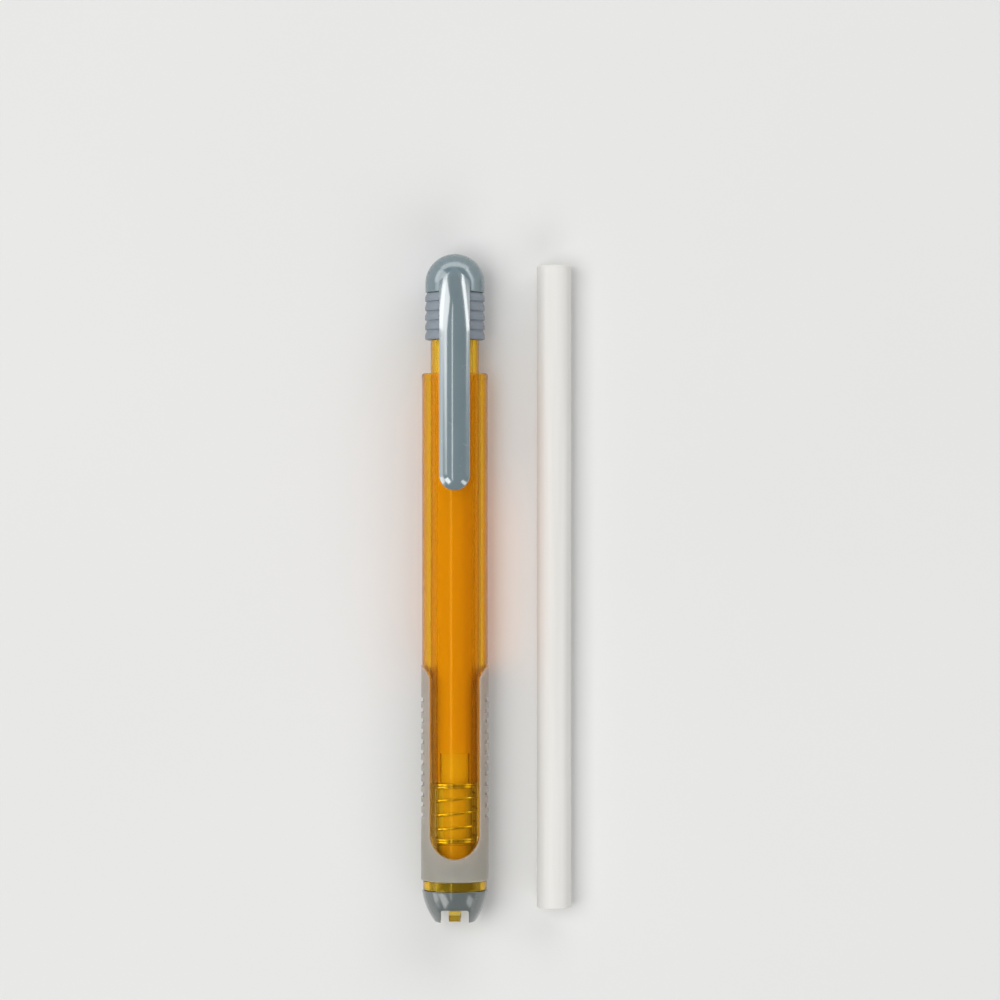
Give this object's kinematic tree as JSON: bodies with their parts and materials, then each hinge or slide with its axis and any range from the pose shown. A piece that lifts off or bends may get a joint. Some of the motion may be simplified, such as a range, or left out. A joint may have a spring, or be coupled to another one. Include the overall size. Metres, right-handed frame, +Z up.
{
  "type": "eraser pen",
  "caption": "Clear click eraser pen with a windowed soft grip, ribbed push cap with pocket clip, spring clutch that holds a white eraser stick, and a loose spare stick.",
  "frame": {"origin": "centre of the set's box on the table that the pen and the spare lie on", "axes": "+Y along the pen from the nose to the cap, +X from the pen to the spare, +Z up, out of the clip"},
  "size_m": [0.0296, 0.131, 0.0155],
  "materials": {
    "clear_orange": "clear tinted, polished",
    "gloss_grey": "gloss moulded",
    "rib_grey": "satin moulded",
    "soft_grey": "soft satin",
    "spring_steel": "bright wire",
    "eraser_white": "matt"
  },
  "bodies": {
    "pen_body": {"barrel": "clear_orange", "grip": "soft_grey", "nose_cone": "gloss_grey", "return_spring": "spring_steel"},
    "plunger": {"plunger_tube": "clear_orange", "push_sleeve": "rib_grey", "clip_cap": "gloss_grey"},
    "upper_jaw": {"jaw_top": "clear_orange"},
    "lower_jaw": {"jaw_bottom": "clear_orange"},
    "stick": {"eraser_core": "eraser_white"},
    "spare": {"spare_refill": "eraser_white"}
  },
  "joints": [
    {"name": "push_slide", "type": "slide", "parent": "pen_body", "child": "plunger", "axis": [0, -1, 0], "range_m": [0, 0.006], "stiffness_N_per_m": 210, "springref_m": -0.006, "deforming": ["return_spring"]},
    {"name": "upper_jaw_flex", "type": "hinge", "parent": "plunger", "child": "upper_jaw", "pos_m": [-0.00813, -0.03225, 0.01038], "axis": [-1, 0, 0], "range_deg": [0, 0.86]},
    {"name": "lower_jaw_flex", "type": "hinge", "parent": "plunger", "child": "lower_jaw", "pos_m": [-0.00813, -0.03225, 0.00288], "axis": [1, 0, 0], "range_deg": [0, 0.86]},
    {"name": "stick_feed", "type": "slide", "parent": "plunger", "child": "stick", "axis": [0, -1, 0], "range_m": [0, 0.118]},
    {"name": "spare_away", "type": "slide", "parent": "pen_body", "child": "spare", "axis": [1, 0, 0], "range_m": [0, 0.04]}
  ],
  "couplings": [
    {"joint": "upper_jaw_flex", "follows": "push_slide", "rad_per_m": 2.47},
    {"joint": "lower_jaw_flex", "follows": "push_slide", "rad_per_m": 2.47}
  ]
}
